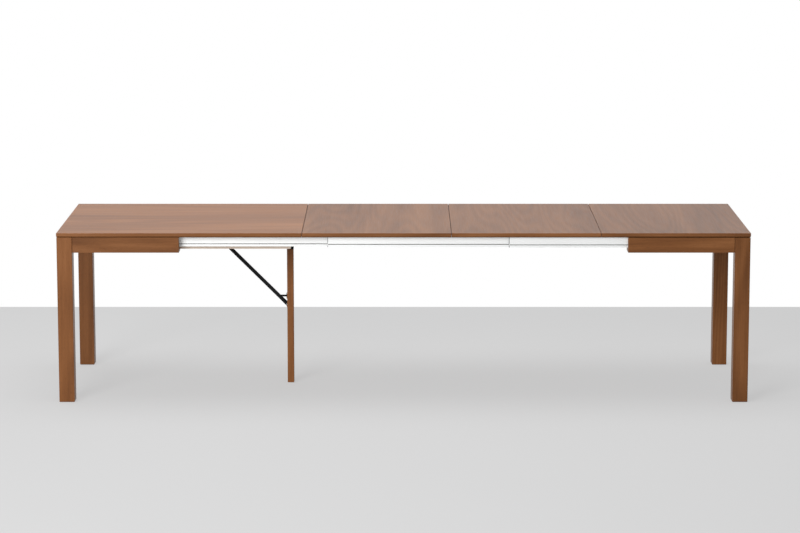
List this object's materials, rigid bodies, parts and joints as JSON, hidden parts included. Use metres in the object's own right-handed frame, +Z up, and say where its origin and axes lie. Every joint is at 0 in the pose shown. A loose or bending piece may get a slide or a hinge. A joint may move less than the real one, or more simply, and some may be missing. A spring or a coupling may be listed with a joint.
{
  "type": "extending table",
  "caption": "Long dining table with square legs that slides open on telescopic guides, with loose leaves and a folding support leg under the middle.",
  "frame": {"origin": "on the floor, under the middle of the open table", "axes": "+X from the fixed end to the moving end, +Y from the front to the rear, +Z up"},
  "size_m": [3.015, 0.9, 0.75],
  "materials": {
    "lacquered_wood": "satin lacquer",
    "raw_wood": "planed, unfinished",
    "white_guide": "white coated",
    "black_steel": "black powder coat",
    "zinc_steel": "zinc plated",
    "black_plastic": "matt",
    "felt": "pressed felt"
  },
  "bodies": {
    "fixed_end": {"main_top": "lacquered_wood", "left_end_apron": "lacquered_wood", "left_front_leg": "lacquered_wood", "left_front_apron": "lacquered_wood", "left_front_ledge": "lacquered_wood", "left_rear_leg": "lacquered_wood", "left_rear_apron": "lacquered_wood", "left_rear_ledge": "lacquered_wood", "front_bearer": "raw_wood", "rear_bearer": "raw_wood", "cross_rail_left": "raw_wood", "cross_rail_middle": "raw_wood", "cross_rail_right": "raw_wood", "cross_rail_dowels": "raw_wood", "left_end_dowels": "raw_wood", "fixed_guide_front": "white_guide", "fixed_guide_rear": "white_guide", "hinge_bracket": "black_steel", "fixed_guide_screws": "zinc_steel", "top_screws": "zinc_steel", "track_screws": "zinc_steel", "bracket_screws": "zinc_steel", "hinge_pin": "zinc_steel", "stay_track": "zinc_steel", "left_leg_glides": "black_plastic"},
    "inner_stage": {"inner_guide_front": "white_guide", "inner_guide_rear": "white_guide"},
    "middle_stage": {"middle_guide_front": "white_guide", "middle_guide_rear": "white_guide"},
    "moving_end": {"outer_guide_front": "white_guide", "outer_guide_rear": "white_guide", "outer_guide_screws": "zinc_steel", "right_leg_glides": "black_plastic", "right_end_dowels": "raw_wood", "right_end_apron": "lacquered_wood", "right_front_leg": "lacquered_wood", "right_front_apron": "lacquered_wood", "right_front_ledge": "lacquered_wood", "right_rear_leg": "lacquered_wood", "right_rear_apron": "lacquered_wood", "right_rear_ledge": "lacquered_wood"},
    "first_leaf": {"leaf_1": "lacquered_wood", "leaf_1_locators": "raw_wood", "leaf_1_pads": "felt"},
    "second_leaf": {"leaf_2": "lacquered_wood", "leaf_2_locators": "raw_wood", "leaf_2_pads": "felt"},
    "third_leaf": {"leaf_3": "lacquered_wood", "leaf_3_locators": "raw_wood", "leaf_3_pads": "felt"},
    "folding_leg": {"support_leg": "lacquered_wood", "support_glide": "black_plastic", "support_screws": "zinc_steel", "stay_clevis": "black_steel", "stay_pivot_pin": "black_steel", "stop_arm": "black_steel"},
    "folding_stay": {"stay_bar": "black_steel", "stay_rollers": "black_plastic", "roller_pin": "black_steel"}
  },
  "joints": [
    {"name": "extension", "type": "slide", "parent": "fixed_end", "child": "moving_end", "axis": [1, 0, 0], "range_m": [-1.95, 0]},
    {"name": "inner_stage_slide", "type": "slide", "parent": "fixed_end", "child": "inner_stage", "axis": [1, 0, 0], "range_m": [-0.371, 0]},
    {"name": "middle_stage_slide", "type": "slide", "parent": "fixed_end", "child": "middle_stage", "axis": [1, 0, 0], "range_m": [-1.161, 0]},
    {"name": "first_leaf_lift", "type": "slide", "parent": "fixed_end", "child": "first_leaf", "axis": [0, 0, 1], "range_m": [0, 0.301]},
    {"name": "second_leaf_lift", "type": "slide", "parent": "fixed_end", "child": "second_leaf", "axis": [0, 0, 1], "range_m": [0, 0.301]},
    {"name": "third_leaf_lift", "type": "slide", "parent": "fixed_end", "child": "third_leaf", "axis": [0, 0, 1], "range_m": [0, 0.301]},
    {"name": "support_leg_fold", "type": "hinge", "parent": "fixed_end", "child": "folding_leg", "pos_m": [-0.5085, 0, 0.685], "axis": [0, 1, 0], "range_deg": [0, 90]},
    {"name": "stay_swing", "type": "hinge", "parent": "folding_leg", "child": "folding_stay", "pos_m": [-0.5355, 0, 0.37164], "axis": [0, 1, 0], "range_deg": [-135, 0]}
  ],
  "couplings": [
    {"joint": "inner_stage_slide", "follows": "extension", "ratio": 0.19},
    {"joint": "middle_stage_slide", "follows": "extension", "ratio": 0.595},
    {"joint": "first_leaf_lift", "follows": "extension", "ratio": -0.15385},
    {"joint": "second_leaf_lift", "follows": "extension", "ratio": -0.15385},
    {"joint": "third_leaf_lift", "follows": "extension", "ratio": -0.15385},
    {"joint": "stay_swing", "follows": "support_leg_fold", "ratio": -1.5}
  ]
}
